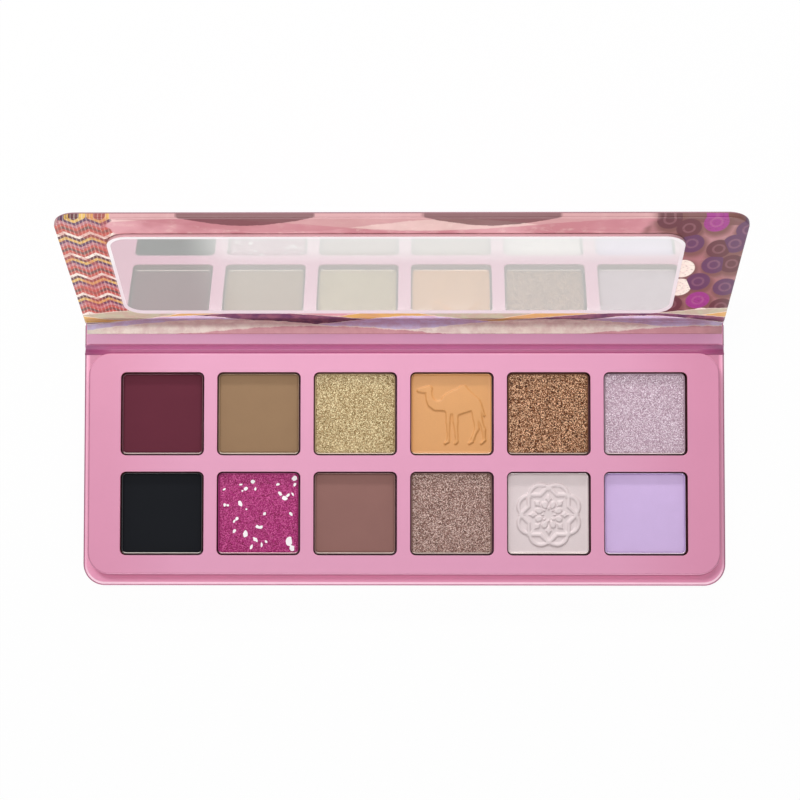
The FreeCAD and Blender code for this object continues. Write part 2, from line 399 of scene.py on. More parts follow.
@effect("Fine grain", {"Colour": COLOUR, "Cloud": VALUE, "Matt": VALUE}, SURFACE)
def fine_grain(wires, given, out):
    """Cloudy colour, slight change of gloss and a fine height for papers, boards, metal and glass."""
    place = wires.object_place()
    clouds = wires.noise(place, 9 * MM)
    fibres = wires.noise(place, 0.3 * MM, 4.0, 0.65)
    spread = wires.times(wires.minus(clouds, 0.5), given["Cloud"])
    shade = wires.plus(spread, wires.math("MULTIPLY_ADD", fibres, 0.05, 0.975))
    wires.feed(out["Colour"], wires.mix(1.0, given["Colour"], shade, "MULTIPLY"))
    wires.feed(out["Roughness"], wires.math("MULTIPLY_ADD", fibres, 0.12, given["Matt"]))
    wires.feed(out["Height"], fibres)


@effect("Pressed grain", {"Colour": COLOUR, "Bloom": VALUE, "Matt": VALUE}, SURFACE)
def pressed_grain(wires, given, out):
    """Fine pressed grain and soft blooms for matte powders."""
    place = wires.object_place()
    grain = wires.noise(place, 0.22 * MM, 3.0, 0.7)
    bloom = wires.noise(place, 5 * MM, 2.0, 0.55)
    soft = wires.times(wires.minus(bloom, 0.5), given["Bloom"])
    shade = wires.plus(soft, wires.math("MULTIPLY_ADD", grain, 0.16, 0.92))
    wires.feed(out["Colour"], wires.mix(1.0, given["Colour"], shade, "MULTIPLY"))
    wires.feed(out["Roughness"], wires.math("MULTIPLY_ADD", grain, 0.2, given["Matt"]))
    wires.feed(out["Height"], grain)


@effect(
    "Glitter specks",
    {"Shade": COLOUR, "Dark": COLOUR, "Spark": COLOUR, "Speck": VALUE},
    {**SURFACE, "Bare": VALUE},
)
def glitter_specks(wires, given, out):
    """Bright and dark specks of shimmer, with a mask of the bare metal-like ones."""
    place = wires.object_place()
    count = wires.math("DIVIDE", 1.0, given["Speck"])
    random_cell = wires.red(wires.cells(place, count)[1])
    inputs = {"Vector": place, "Scale": count, "Detail": 2.0, "Roughness": 0.6}
    drift = wires.node("ShaderNodeTexNoise", inputs).outputs[0]
    value = wires.plus(wires.times(random_cell, 0.6), wires.times(drift, 0.4))
    body = wires.mix(wires.step(value, 0.26, 0.46), given["Dark"], given["Shade"])
    wires.feed(out["Colour"], wires.mix(wires.step(value, 0.56, 0.72), body, given["Spark"]))
    wires.feed(out["Roughness"], wires.step(value, 0.3, 0.75, 0.6, 0.34))
    wires.feed(out["Height"], value)
    wires.feed(out["Bare"], wires.step(value, 0.45, 0.7, 0.0, 0.18))


@effect("Painted rim light and shade", {"Colour": COLOUR, "Highlight": COLOUR, "Shade": COLOUR}, {"Colour": COLOUR})
def rim_light_and_shade(wires, given, out):
    """Painted highlight: a pale line along the rim of the base. Painted shade at its turned edge and at the
    deck's foot and brink.
    """
    papers = bpy.context.scene.palette_papers
    place = wires.parts(wires.object_place())

    def inside(node, corner):
        """How far a point lies inside a node's sides and rounded front, and how far ahead."""
        low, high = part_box(node)
        aside = wires.minus(wires.math("ABSOLUTE", place[0]), high.x - corner)
        ahead = wires.minus(low.y + corner, place[1])
        return wires.round_inside(aside, ahead, corner), ahead

    rim, ahead = inside("base_wrap", papers.case_corner)
    # Painted highlight: a pale line just inside the rim, strongest along the front
    line = wires.band(rim, (0.3 * MM, 0.42 * MM), (0.95 * MM, 0.75 * MM))
    highlight_at_front = wires.step(ahead, 0.0, 4 * MM, 0.3, 1.0)
    colour = wires.mix(wires.times(line, highlight_at_front), given["Colour"], given["Highlight"])

    # Painted shade on the lining at the deck's foot and on the deck's top brink
    skirt = inside("deck_cover", papers.deck_corner)[0]
    case_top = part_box("base_lining")[1].z
    deck_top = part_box("deck_cover")[1].z
    low_down = wires.step(place[2], case_top + 0.5 * MM, case_top)
    foot = wires.times(wires.step(skirt, -0.6 * MM, -0.1 * MM), low_down)
    high_up = wires.step(place[2], deck_top - 0.6 * MM, deck_top - 0.4 * MM)
    brink_shade = wires.times(wires.step(skirt, 0.45 * MM, 0.25 * MM), high_up)
    half_shaded = wires.times(wires.math("MAXIMUM", foot, brink_shade), 0.5)
    colour = wires.mix(half_shaded, colour, given["Shade"])

    # Painted shade on the outer turned edge of the base
    on_top = wires.step(place[2], 1.1 * MM, 1.25 * MM)
    turn = wires.times(wires.step(rim, 0.4 * MM, 0.28 * MM), on_top)
    wires.feed(out["Colour"], wires.mix(turn, colour, given["Shade"]))


@effect("Dune print", {"Across": VALUE, "Up": VALUE}, {"Colour": COLOUR})
def dune_print(wires, given, out):
    """The printed sheet: a dusty wash with dune bands along the crease, zigzags at the left and round
    pebbles at the right. Takes places in mm, across the sheet and up from the crease."""
    inks = bpy.context.scene.palette_print
    across = given["Across"]
    up = given["Up"]

    def ink(name):
        return linear(getattr(inks, name))

    place = wires.node("ShaderNodeCombineXYZ", {0: across, 1: up}).outputs[0]
    cloud = wires.noise(place, 16.0, 3.0, 0.55)
    blotch = wires.noise(place, 3.2, 4.0, 0.65)
    wash = wires.mix(wires.step(cloud, 0.38, 0.62), ink("wash_deep"), ink("wash"))
    wash = wires.mix(wires.step(blotch, 0.5, 0.75, 0.0, 0.3), wash, ink("cream"))

    def crest(height, swing, length, start):
        """How far a point lies below a rolling line."""
        wave = wires.math("SINE", wires.plus(wires.math("DIVIDE", across, length), start))
        ripple = wires.times(wires.minus(blotch, 0.5), 1.2)
        line = wires.plus(wires.math("MULTIPLY_ADD", wave, swing, height), ripple)
        return wires.minus(line, up)

    # Ink, height, swing, length and start of each rolling line, and how strong the ink is above it
    far_hills = (
        ("cream", 55.5, 3.0, 17.0, 4.4, 0.45),
        ("wash_deep", 55.0, 3.4, 13.0, 0.6, 0.6),
        ("maroon", 58.4, 3.4, 9.0, 2.4, 0.8),
    )
    colour = wash
    for name, height, swing, length, start, strength in far_hills:
        sky = wires.step(crest(height, swing, length, start), 0.2, -0.2, 0.0, strength)
        colour = wires.mix(sky, colour, ink(name))

    zig = wires.math("PINGPONG", across, 3.0)
    lanes = wires.plus(up, wires.times(zig, 0.9))
    lane = wires.math("FRACT", wires.math("DIVIDE", lanes, 11.0))
    threads = ("terracotta", "wash_deep", "plum", "ochre", "maroon", "cream", "terracotta", "brown")
    zigzag = wires.chart(lane, [ink(name) for name in threads])
    stitch = wires.step(wires.math("PINGPONG", across, 0.45), 0.08, 0.2, 0.7, 1.0)
    zigzag = wires.mix(stitch, ink("cream"), zigzag)
    weave = wires.noise(place, 0.7, 2.0, 0.6)
    zigzag = wires.mix(wires.step(weave, 0.45, 0.7, 0.0, 0.5), zigzag, ink("maroon"))
    zigzag = wires.mix(wires.step(wires.noise(place, 6.0), 0.5, 0.6, 0.0, 0.45), zigzag, ink("terracotta"))
    ragged = wires.plus(across, wires.times(wires.minus(cloud, 0.5), 18.0))
    colour = wires.mix(wires.step(ragged, -64.0, -64.6), colour, zigzag)

    stretched = wires.vector("MULTIPLY", place, (0.155, 0.095, 1.0))
    gap, pebble = wires.cells(stretched, 1.0, flat=True, jitter=0.55)
    tones = ("plum", "maroon", "magenta", "maroon", "cream", "plum", "maroon")
    pebbles = wires.chart(wires.red(pebble), [ink(name) for name in tones])
    ring = wires.band(gap, (0.14, 0.18), (0.26, 0.22))
    pebbles = wires.mix(wires.times(ring, 0.16), pebbles, ink("wash"))
    pebbles = wires.mix(wires.step(weave, 0.5, 0.75, 0.0, 0.5), pebbles, ink("maroon"))
    above = wires.vector("ADD", stretched, (-0.06, 0.13, 0.0))
    cast = wires.cells(above, 1.0, flat=True, jitter=0.55)[0]
    shaded = wires.mix(wires.step(cast, 0.75, 0.4, 0.4, 0.95), colour, ink("brown"))
    right = wires.step(ragged, 57.0, 60.0)
    colour = wires.mix(right, colour, wires.mix(wires.step(gap, 0.47, 0.43), shaded, pebbles))

    # Ink, height, swing, length and start of each rolling line that fills the sheet below it
    bands = (
        ("sage", 7.6, 2.6, 11.0, 0.4),
        ("ochre", 5.8, 2.6, 7.0, 2.1),
        ("plum", 4.4, 3.0, 15.0, 4.0),
        ("lilac", 3.2, 2.4, 9.0, 1.2),
        ("cream", 1.2, 2.2, 13.0, 5.0),
        ("wash", -1.0, 1.4, 16.0, 3.0),
    )
    for name, height, swing, length, start in bands:
        depth = crest(height, swing, length, start)
        tone = wires.mix(wires.step(blotch, 0.35, 0.65, 0.0, 0.35), ink(name), ink("wash_deep"))
        colour = wires.mix(wires.step(depth, -0.1, 0.1), colour, tone)
        line = wires.band(depth, (-0.12, 0.0), (0.28, 0.16))
        colour = wires.mix(wires.times(line, 0.7), colour, ink("cream"))
    wires.feed(out["Colour"], colour)


def shader_input(material, label):
    return material.node_tree.nodes["Principled BSDF"].inputs[label]


def surface(name, group, values, bump=0.0, depth=0.02, polish=None, **constants):
    """A material whose colour, roughness and fine height come from a group; constants go on the shader.

    With polish, the face is smooth and has that roughness all over.
    """
    made = bpy.data.materials.new(name)
    made.use_nodes = True
    wires = Wiring(made.node_tree)
    for label, value in constants.items():
        shader_input(made, label.replace("_", " ")).default_value = value
    found = wires.node("ShaderNodeGroup", values, node_tree=group).outputs
    wires.feed(shader_input(made, "Base Color"), found["Colour"])
    if polish is not None:
        shader_input(made, "Roughness").default_value = polish
        return made
    wires.feed(shader_input(made, "Roughness"), found["Roughness"])
    if "Bare" in found:
        wires.feed(shader_input(made, "Metallic"), found["Bare"])
    inputs = {"Height": found["Height"], "Strength": bump, "Distance": depth * MM}
    wires.feed(shader_input(made, "Normal"), wires.node("ShaderNodeBump", inputs).outputs[0])
    return made


def paper(name, colour, cloud=0.05, matt=0.38, gloss=0.0):
    values = {"Colour": linear(colour), "Cloud": cloud, "Matt": matt}
    return surface(name, fine_grain(), values, bump=0.35, Coat_Weight=gloss, Coat_Roughness=0.3)


def matte_powder(name, colour, bloom=0.1, matt=0.72, shine=0.15):
    values = {"Colour": linear(colour), "Bloom": bloom, "Matt": matt}
    return surface(name, pressed_grain(), values, bump=0.5, depth=0.03, Specular_IOR_Level=shine)


def group_in(material, name):
    """The node that places a node group in a material."""
    groups = (node for node in material.node_tree.nodes if node.type == "GROUP")
    return next(node for node in groups if node.node_tree.name == name)


def paper_colour(material):
    """The socket that takes a paper's colour, before its grain."""
    return group_in(material, "Fine grain").inputs["Colour"]


def paint_rim_light_and_shade(material):
    """Paints the rim highlight and shade of the base and the deck into a paper material."""
    papers = bpy.context.scene.palette_papers
    wires = Wiring(material.node_tree)
    socket = paper_colour(material)
    inputs = {
        "Colour": tuple(socket.default_value),
        "Highlight": linear(papers.rim_highlight),
        "Shade": linear(papers.shade),
    }
    rim = wires.node("ShaderNodeGroup", inputs, node_tree=rim_light_and_shade())
    wires.feed(socket, rim.outputs["Colour"])
    return material


def printed(name, across, up):
    """A print material; across and up make a socket from the wiring, in mm."""
    made = paper(name, bpy.context.scene.palette_print.wash, gloss=0.1)
    wires = Wiring(made.node_tree)
    inputs = {"Across": across(wires), "Up": up(wires)}
    sheet = wires.node("ShaderNodeGroup", inputs, node_tree=dune_print())
    wires.feed(paper_colour(made), sheet.outputs["Colour"])
    return made


def on_lid(axis):
    """Makes the socket of a place on the lid in mm: across, up from the crease or out from its middle."""

    def socket(wires):
        inputs = {"Vector": wires.object_place(), "Location": LID_CREASE, "Rotation": (LID_ANGLE, 0, 0)}
        flat = wires.node("ShaderNodeMapping", inputs, vector_type="TEXTURE").outputs[0]
        return wires.math("DIVIDE", wires.parts(flat)[axis], MM)

    return socket


# Building pieces


def dress(material, *nodes):
    """Gives CAD nodes a material."""
    for node in nodes:
        slots = frame["nodes"][node].material_slots
        if slots:
            slots[0].material = material
        else:
            frame["nodes"][node].data.materials.append(material)


def finish_piece(bm, name, materials, body=None, stands_for=(), smooth=True):
    """Turns a bmesh into a piece that rides on a body and stands for CAD nodes."""
    mesh = bpy.data.meshes.new(name)
    bm.normal_update()
    for face in bm.faces:
        face.smooth = smooth
    bm.to_mesh(mesh)
    bm.free()
    for material in materials:
        mesh.materials.append(material)
    piece = bpy.data.objects.new(name, mesh)
    bpy.context.scene.collection.objects.link(piece)
    if body:
        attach(piece, body)
    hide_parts(*stands_for)
    return piece


def new_verts(result):
    return [item for item in result["geom"] if isinstance(item, bmesh.types.BMVert)]


def new_edges(result):
    return [item for item in result["geom"] if isinstance(item, bmesh.types.BMEdge)]


def round_off(bm, geom, offset, affect, segments):
    """Rounds edges or corners."""
    bmesh.ops.bevel(
        bm, geom=geom, offset=offset, affect=affect, segments=segments, profile=0.5, material=-1
    )


def round_sheet(width, depth, corner, segments):
    """A bmesh of one flat face with rounded corners."""
    bm = bmesh.new()
    bmesh.ops.create_grid(bm, x_segments=1, y_segments=1, size=0.5)
    bmesh.ops.scale(bm, verts=bm.verts, vec=(width, depth, 1))
    round_off(bm, bm.verts, corner, "VERTICES", segments)
    return bm


def rounded(x, y, half, corner):
    """A point of a square moved so that the square's corners become round."""
    inner = half - corner
    over_x = abs(x) - inner
    over_y = abs(y) - inner
    if over_x <= 0 or over_y <= 0:
        return x, y
    reach = math.hypot(over_x, over_y)
    scale = max(over_x, over_y) / reach
    return math.copysign(inner + over_x * scale, x), math.copysign(inner + over_y * scale, y)


def edge_distance(x, y, half, corner):
    """How far a point lies inside a round-cornered square's edge."""
    over_x = abs(x) - half + corner
    over_y = abs(y) - half + corner
    outside = math.hypot(max(over_x, 0), max(over_y, 0))
    return corner - outside - min(max(over_x, over_y), 0)


def cake(node, material, cells, relief, smooth=True):
    """A pressed cake in a powder node's place: a grid shaped by relief(x, y), with sides and a floor."""
    settings = bpy.context.scene.palette_powders
    low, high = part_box(node)
    half = (high.x - low.x) / 2
    bm = bmesh.new()
    bmesh.ops.create_grid(bm, x_segments=cells, y_segments=cells, size=half)
    face_verts = list(bm.verts)
    rim = [edge for edge in bm.edges if edge.is_boundary]
    for vert in face_verts:
        vert.co.x, vert.co.y = rounded(vert.co.x, vert.co.y, half, settings.corner)
    wall = bmesh.ops.extrude_edge_only(bm, edges=rim)
    for vert in new_verts(wall):
        vert.co.z = low.z - high.z
    foot = [edge for edge in new_edges(wall) if edge.is_boundary]
    bmesh.ops.holes_fill(bm, edges=foot, sides=0)
    for vert in face_verts:
        inside = edge_distance(vert.co.x, vert.co.y, half, settings.corner)
        near = max(1 - inside / settings.roll, 0)
        fade = min(inside / settings.roll, 1)
        fall = 1 - math.sqrt(1 - min(near, 1) ** 2)
        vert.co.z += relief(vert.co.x, vert.co.y) * fade - settings.drop * fall
    bmesh.ops.recalc_face_normals(bm, faces=bm.faces)
    middle = (low + high) / 2
    bmesh.ops.translate(bm, verts=bm.verts, vec=(middle.x, middle.y, high.z))
    shade = SHADES[node]
    return finish_piece(bm, "cake_" + shade, [material], "base", [node], smooth)


def smooth_step(value, start, end):
    share = min(max((value - start) / (end - start), 0), 1)
    return share * share * (3 - 2 * share)


def paper_strip(width, path, cells, thickness):
    """A strip of paper whose section follows path(0..1); it keeps each point's place along that."""
    bm = bmesh.new()
    bmesh.ops.create_grid(bm, x_segments=24, y_segments=cells, size=0.5)
    along = bm.verts.layers.float.new("along")
    for vert in bm.verts:
        share = vert.co.y + 0.5
        point = path(share)
        vert[along] = share
        vert.co = (vert.co.x * width, point.y, point.z)
    bmesh.ops.recalc_face_normals(bm, faces=bm.faces)
    bmesh.ops.solidify(bm, geom=bm.faces, thickness=thickness)
    bmesh.ops.recalc_face_normals(bm, faces=bm.faces)
    return bm


def run_through(points):
    """A path along straight runs from point to point, at an even pace."""
    lengths = [(b - a).length for a, b in zip(points, points[1:])]

    def path(share):
        left = share * sum(lengths)
        for start, end, length in zip(points, points[1:], lengths):
            if left <= length:
                break
            left -= length
        return start.lerp(end, min(left / length, 1))

    return path


def fold_path(spine_height, lid_height, start, lid_end, ease):
    """A path from the spine at a height over the floor, round the lid's crease, and up the lid.

    lid_height is measured from the lid's mid plane, lid_end from the crease, and ease is how far from the
    corner the bend begins.
    """
    corner_along = (spine_height - LID_CREASE.z - lid_height * math.cos(LID_ANGLE)) / math.sin(LID_ANGLE)
    corner = LID_PLACE @ Vector((0, corner_along, lid_height))
    bend_start = Vector((0, max(corner.y - ease, start), spine_height))
    bend_end = LID_PLACE @ Vector((0, min(corner_along + ease, lid_end), lid_height))
    first = Vector((0, start, spine_height))
    last = LID_PLACE @ Vector((0, lid_end, lid_height))
    before = (bend_start - first).length
    bend = (bend_end - corner).length + (corner - bend_start).length
    after = (last - bend_end).length
    total = before + bend + after

    def path(share):
        run = share * total
        if run < before:
            return first.lerp(bend_start, run / before)
        if run < before + bend:
            part = (run - before) / bend
            return bend_start.lerp(corner, part).lerp(corner.lerp(bend_end, part), part)
        return bend_end.lerp(last, min((run - before - bend) / after, 1)) if after else last

    path.total = total
    return path


# Operators


class PALETTE_OT_case_papers(bpy.types.Operator):
    """Covers the boards with wrap and lining papers"""

    bl_idname = "palette.case_papers"
    bl_label = "Case papers"

    def execute(self, context):
        papers = context.scene.palette_papers
        wrap = paper("Wrap paper", papers.wrap, gloss=papers.gloss)
        # The wrap and the lining carry the painted rim highlight and shade
        dress(paint_rim_light_and_shade(wrap), "base_wrap", "spine_wrap")
        dress(paint_rim_light_and_shade(paper("Lining paper", papers.lining, gloss=papers.gloss)), "base_lining")
        dress(paper("Spine paper", papers.spine, gloss=papers.gloss), "spine_lining")
        return {"FINISHED"}


class PALETTE_OT_inner_pieces(bpy.types.Operator):
    """Finishes the boards, magnets, glue and tape that the papers hide"""

    bl_idname = "palette.inner_pieces"
    bl_label = "Inner pieces"

    def execute(self, context):
        papers = context.scene.palette_papers
        board = paper("Greyboard", papers.greyboard, cloud=0.25, matt=0.7)
        dress(board, "base_board", "spine_board", "lid_board")
        dress(paper("Clear glue", srgb("D8D2C0"), cloud=0.3, matt=0.2), "pan_glue")
        dress(paper("Mounting tape", srgb("E4E2DC"), cloud=0.1, matt=0.5), "mirror_tape")
        magnet = paper("Plated magnet", srgb("9A9CA0"), cloud=0.15, matt=0.25)
        shader_input(magnet, "Metallic").default_value = 1.0
        dress(magnet, "base_magnets", "lid_magnets")
        return {"FINISHED"}


class PALETTE_OT_deck(bpy.types.Operator):
    """Papers the raised deck with painted shade at its ends, window walls and brink, and colours the board
    inside its windows dark as painted shade
    """

    bl_idname = "palette.deck"
    bl_label = "Deck"

    def execute(self, context):
        papers = context.scene.palette_papers
        # The deck paper carries the painted shade on its brink
        cover = paint_rim_light_and_shade(paper("Deck paper", papers.deck, gloss=papers.gloss))
        wires = Wiring(cover.node_tree)
        away = [wires.math("ABSOLUTE", part) for part in wires.from_middle("deck_cover")[:2]]
        # Painted shade towards the deck's two ends
        end = wires.step(away[0], 50 * MM, 76 * MM)
        tone = wires.mix(end, linear(papers.deck), linear(papers.deck_end_shade))
        # Painted shade on the window walls of the deck paper
        cut = wires.step(wires.parts(wires.face_normal())[2], 0.8, 0.3)
        low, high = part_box("deck_cover")
        for part, half in zip(away, (high - low) / 2):
            border = half - papers.deck_border
            cut = wires.times(cut, wires.step(part, border, border - MM))
        tone = wires.mix(cut, tone, linear(papers.cut))
        wires.feed(group_in(cover, "Painted rim light and shade").inputs["Colour"], tone)
        dress(cover, "deck_cover")
        # The board inside the windows is coloured dark as painted shade
        dress(paper("Deck board in painted shade", papers.deck_core, cloud=0.15, matt=0.6), "deck_core")
        return {"FINISHED"}


class PALETTE_OT_pans(bpy.types.Operator):
    """Gives each pan its tin, dusted with the powder it holds, and a finely rolled rim, with painted shade
    and a painted highlight on the rims
    """

    bl_idname = "palette.pans"
    bl_label = "Pans"

    def execute(self, context):
        powders = context.scene.palette_powders
        for pan in PANS:
            shade = getattr(powders, SHADES[pan.replace("pan_", "powder_")])
            dusted = [0.1 * metal + 0.9 * dust for metal, dust in zip(powders.tin, shade)]
            name = "Tin with " + pan.replace("pan_", "").replace("_", " ")
            tin = paper(name, dusted, cloud=0.25, matt=0.3, gloss=0.3)
            shader_input(tin, "Metallic").default_value = 0.4
            self.paint_rim_shade_and_highlight(tin, pan, powders)
            dress(tin, pan)
            self.rolled_rim(pan, tin, powders)
        return {"FINISHED"}

    @staticmethod
    def paint_rim_shade_and_highlight(tin, pan, powders):
        """Paints shade on a rim's outer edge by the wider gaps, right and rear, and paints a highlight
        along its front.
        """
        low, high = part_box(pan)
        half = (high - low) / 2
        corner = powders.pan_corner
        rim = powders.rim
        wires = Wiring(tin.node_tree)
        x, y, _ = wires.from_middle(pan)
        aside = wires.minus(wires.math("ABSOLUTE", x), half.x - corner)
        ahead = wires.minus(wires.math("ABSOLUTE", y), half.y - corner)
        # Painted shade on the outer edge of the rim, right and rear
        edge = wires.step(wires.round_inside(aside, ahead, corner), rim * 0.6, rim * 0.3)
        wide = wires.step(wires.plus(x, y), -corner, corner)
        # Painted highlight along the front of the rim
        front = wires.step(y, 2 * rim - half.y, rim - half.y, high=powders.front_highlight_share)
        socket = paper_colour(tin)
        front_highlight = wires.mix(front, tuple(socket.default_value), linear(powders.front_highlight))
        wires.feed(socket, wires.mix(wires.times(edge, wide), front_highlight, linear(powders.gap)))

    @staticmethod
    def rolled_rim(pan, tin, powders):
        low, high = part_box(pan)
        rim = powders.rim
        side = high.x - low.x
        bm = round_sheet(side, side, powders.pan_corner, segments=6)
        middle = list(bm.faces)
        ring = bmesh.ops.inset_region(
            bm, faces=middle, thickness=rim, use_boundary=True, use_even_offset=True
        )["faces"]
        bmesh.ops.delete(bm, geom=middle, context="FACES_ONLY")
        raised = bmesh.ops.extrude_face_region(bm, geom=ring)
        bmesh.ops.translate(bm, verts=new_verts(raised), vec=(0, 0, rim))
        bmesh.ops.recalc_face_normals(bm, faces=bm.faces)
        bm.normal_update()
        above = [edge for edge in bm.edges if min(vert.co.z for vert in edge.verts) > rim / 2]
        sharp = [edge for edge in above if edge.calc_face_angle(0) > 1]
        round_off(bm, sharp, rim * 0.45, "EDGES", segments=3)
        centre = (low + high) / 2
        bmesh.ops.translate(bm, verts=bm.verts, vec=(centre.x, centre.y, high.z - rim * 0.8))
        finish_piece(bm, pan.replace("pan_", "rim_"), [tin], "base")


class PALETTE_OT_matte_powders(bpy.types.Operator):
    """Presses the plain matte powders"""

    bl_idname = "palette.matte_powders"
    bl_label = "Matte powders"

    PLAIN = ("burgundy", "olive_tan", "black", "mauve_brown", "lavender")

    def execute(self, context):
        powders = context.scene.palette_powders
        for node, shade in SHADES.items():
            if shade in self.PLAIN:
                material = matte_powder("Powder " + shade.replace("_", " "), getattr(powders, shade))
                cake(node, material, cells=60, relief=self.face)
        return {"FINISHED"}

    @staticmethod
    def face(x, y):
        """The press leaves a barely uneven face."""
        depth = 0.012 * MM
        spread = 2.5 * MM
        return depth * noise.noise(Vector((x, y, 0)) / spread)


class PALETTE_OT_glitter_powders(bpy.types.Operator):
    """Presses the glitter and shimmer powders, with uneven sparkling faces"""

    bl_idname = "palette.glitter_powders"
    bl_label = "Glitter powders"

    def execute(self, context):
        powders = context.scene.palette_powders
        draw = random.Random(powders.seed)

        def face(x, y):
            """Each point stands a little higher or lower than the next."""
            return powders.glitter * draw.uniform(-1, 1)

        # Each powder's dark specks, its sparks and the size of a speck in mm
        looks = {
            "powder_rear_3": ("6A5424", "E4D4A8", 0.15),
            "powder_rear_5": ("180500", "EABB94", 0.16),
            "powder_rear_6": ("967B88", "EADCE6", 0.15),
            "powder_front_2": ("740C3E", "C4528E", 0.16),
            "powder_front_4": ("4B3028", "D8BEB4", 0.15),
        }
        for node, (dark, spark, speck) in looks.items():
            shade = SHADES[node]
            values = {
                "Shade": linear(getattr(powders, shade)),
                "Dark": linear(srgb(dark)),
                "Spark": linear(srgb(spark)),
                "Speck": speck * MM,
            }
            material = surface(
                "Powder " + shade.replace("_", " "), glitter_specks(), values,
                bump=0.5, depth=0.05, Specular_IOR_Level=0.25
            )
            cake(node, material, cells=100, relief=face, smooth=False)
        return {"FINISHED"}


class PALETTE_OT_flakes(bpy.types.Operator):
    """Scatters irregular pale flakes over the magenta powder"""

    bl_idname = "palette.flakes"
    bl_label = "Flakes"

    # Flakes as (x, y, half length, half width) in mm from the middle of the cake, and a turn in degrees
    FLAKES = (
        (-8.5, 5.9, 0.45, 0.25, 25), (-4.4, 7.1, 0.55, 0.22, 10), (-1.4, 7.8, 0.55, 0.45, 0),
        (-3.2, 6.0, 0.55, 0.48, 30), (-4.0, 5.5, 0.30, 0.22, 20), (-0.8, 6.0, 0.52, 0.32, 80),
        (4.8, 7.1, 0.45, 0.34, 15), (5.4, 4.8, 0.60, 0.42, -40), (6.5, 3.7, 0.78, 0.55, -20),
        (7.3, 4.4, 0.62, 0.40, 55), (8.5, 4.7, 0.55, 0.28, -60), (8.9, 8.6, 0.80, 0.60, 50),
        (9.0, 7.1, 0.48, 0.38, 70), (-4.6, 2.4, 0.85, 0.58, -70), (-8.4, 2.0, 0.48, 0.36, 70),
        (-7.7, 1.9, 0.42, 0.32, -30), (-3.0, 1.0, 0.28, 0.24, 0), (1.5, -0.2, 0.48, 0.36, 40),
        (8.1, -0.2, 0.58, 0.36, -35), (-5.3, -1.4, 0.50, 0.42, 30), (-6.0, -2.0, 0.44, 0.26, 60),
        (-6.0, -4.4, 0.58, 0.42, 70), (-0.2, -3.4, 0.55, 0.40, -30), (0.6, -3.5, 0.62, 0.45, 35),
        (-3.3, -5.2, 0.92, 0.66, 80), (-0.7, -6.6, 0.80, 0.46, -35), (1.9, -7.1, 0.45, 0.30, -60),
        (0.8, -7.9, 0.60, 0.28, 80), (-1.7, -8.4, 0.65, 0.32, 65), (7.6, -7.0, 1.20, 0.80, 85),
        (8.4, -8.7, 0.82, 0.62, -50),
    )

    def execute(self, context):
        powders = context.scene.palette_powders
        draw = random.Random(powders.seed + 1)
        low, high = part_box("powder_front_2")
        middle = (low + high) / 2
        thickness = 0.09 * MM
        sunk = 0.01 * MM
        bm = bmesh.new()
        for x, y, half_length, half_width, turn in self.FLAKES:
            ring = bmesh.ops.create_circle(bm, cap_ends=True, segments=9, radius=MM)["verts"]
            for vert in ring:
                vert.co *= draw.uniform(0.72, 1.18)
            bmesh.ops.scale(bm, verts=ring, vec=(half_length, half_width, 1.0))
            lift = bmesh.ops.extrude_face_region(bm, geom=[ring[0].link_faces[0]])
            top = new_verts(lift)
            bmesh.ops.translate(bm, verts=top, vec=(0, 0, thickness))
            tip = Matrix.Rotation(draw.uniform(-0.05, 0.05), 4, "X")
            spun = Matrix.Rotation(math.radians(turn), 4, "Z") @ tip
            place = Matrix.Translation((middle.x + x * MM, middle.y + y * MM, high.z - sunk))
            bmesh.ops.transform(bm, verts=ring + top, matrix=place @ spun)
        bmesh.ops.recalc_face_normals(bm, faces=bm.faces)
        values = {"Colour": linear(powders.flake), "Cloud": 0.1, "Matt": 0.3}
        material = surface("Flake", fine_grain(), values, bump=0.2)
        finish_piece(bm, "magenta_flakes", [material], "base", smooth=False)
        return {"FINISHED"}


